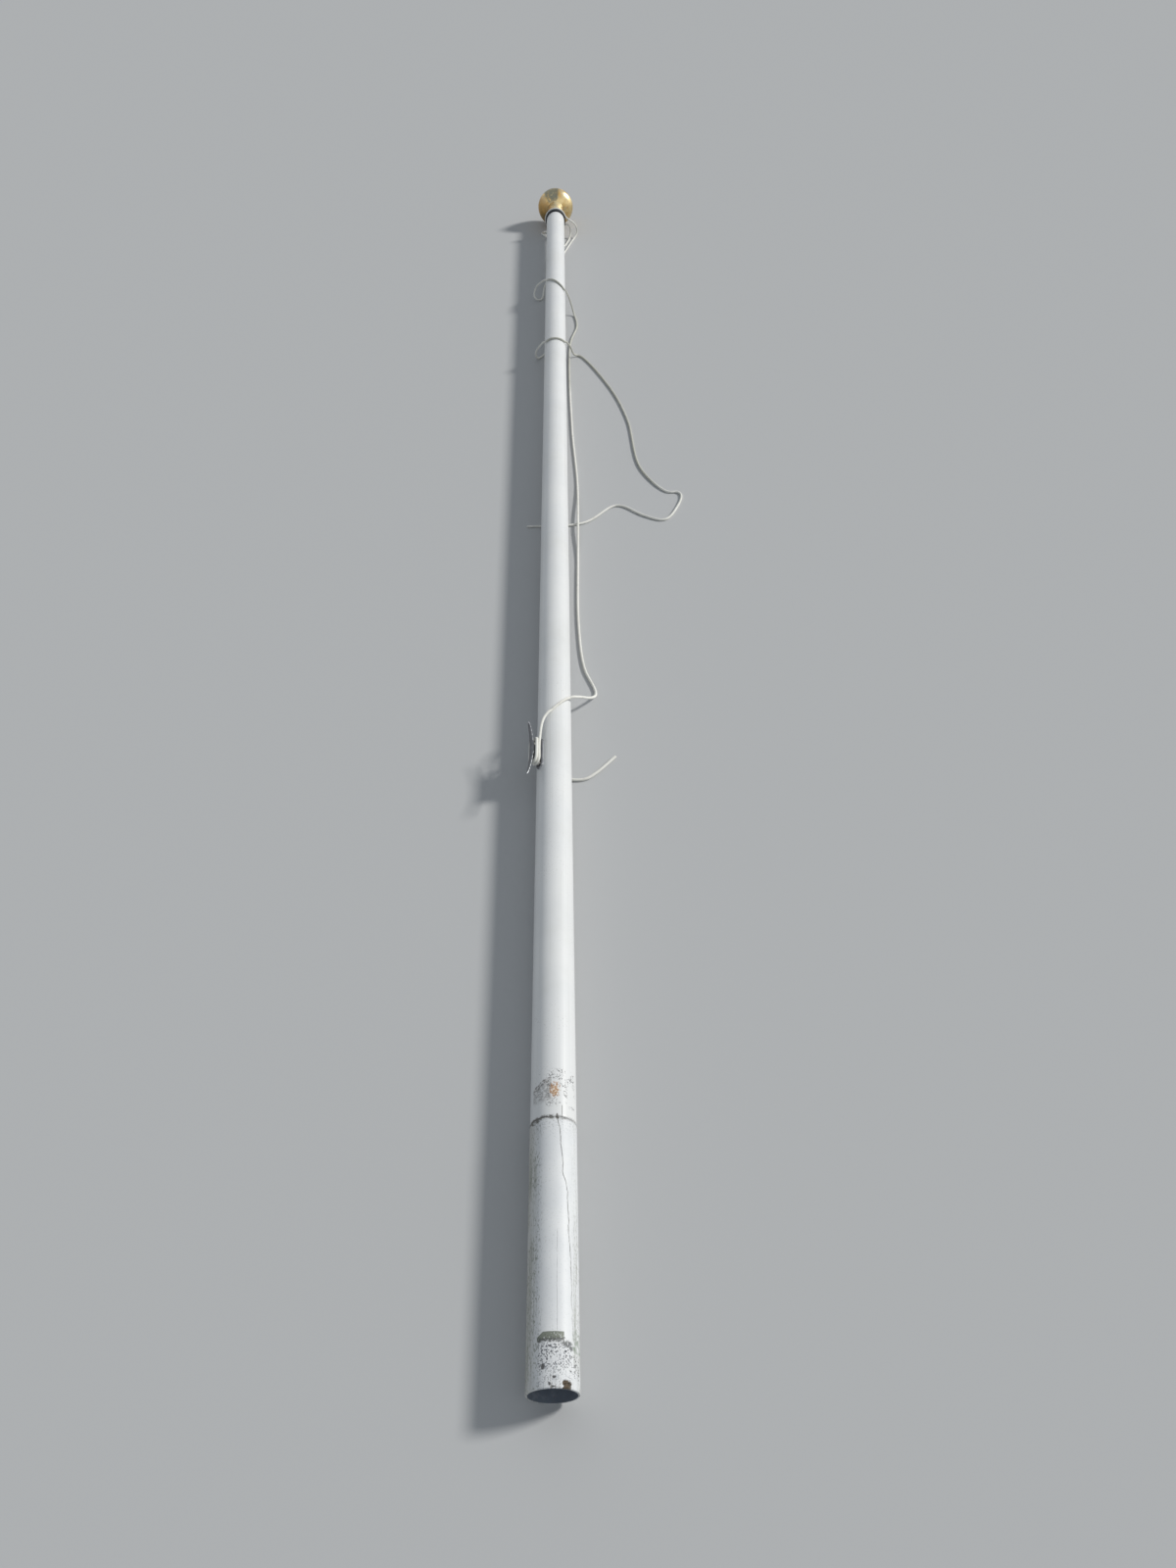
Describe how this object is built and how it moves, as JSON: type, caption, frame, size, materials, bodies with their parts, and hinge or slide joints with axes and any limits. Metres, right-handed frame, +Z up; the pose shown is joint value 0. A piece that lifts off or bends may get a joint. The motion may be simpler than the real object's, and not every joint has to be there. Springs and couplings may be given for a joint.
{
  "type": "flagpole",
  "caption": "Flagpole laid on the ground: white tube in two lengths, black cap, gold onion finial, cleat, and a loose halyard made fast to it.",
  "frame": {"origin": "bottom centre of the rigid parts' box, on the ground under the lying pole", "axes": "+Y along the pole from the open butt to the finial, +Z up from the ground, +X to the right seen from the butt"},
  "size_m": [0.3607, 3.7628, 0.119],
  "materials": {
    "butt_white": "weathered white gelcoat, scuffed and cracked",
    "pole_white": "white gelcoat, satin",
    "coupling_metal": "mill finish",
    "cap_black": "moulded nylon, matt",
    "finial_gold": "bright gold, polished",
    "cleat_metal": "cast, dull grey",
    "screw_steel": "plain steel",
    "rope": "braided polyester, weathered"
  },
  "bodies": {
    "root": {"lower_tube": "butt_white", "coupling": "coupling_metal", "shaft": "pole_white", "cap": "cap_black", "finial_neck": "finial_gold", "finial": "finial_gold", "cleat": "cleat_metal", "cleat_screw_low": "screw_steel", "cleat_screw_high": "screw_steel", "halyard_turn": "rope", "halyard_lead": "rope", "halyard_winding": "rope", "halyard_tail": "rope", "halyard_return": "rope"}
  },
  "joints": []
}
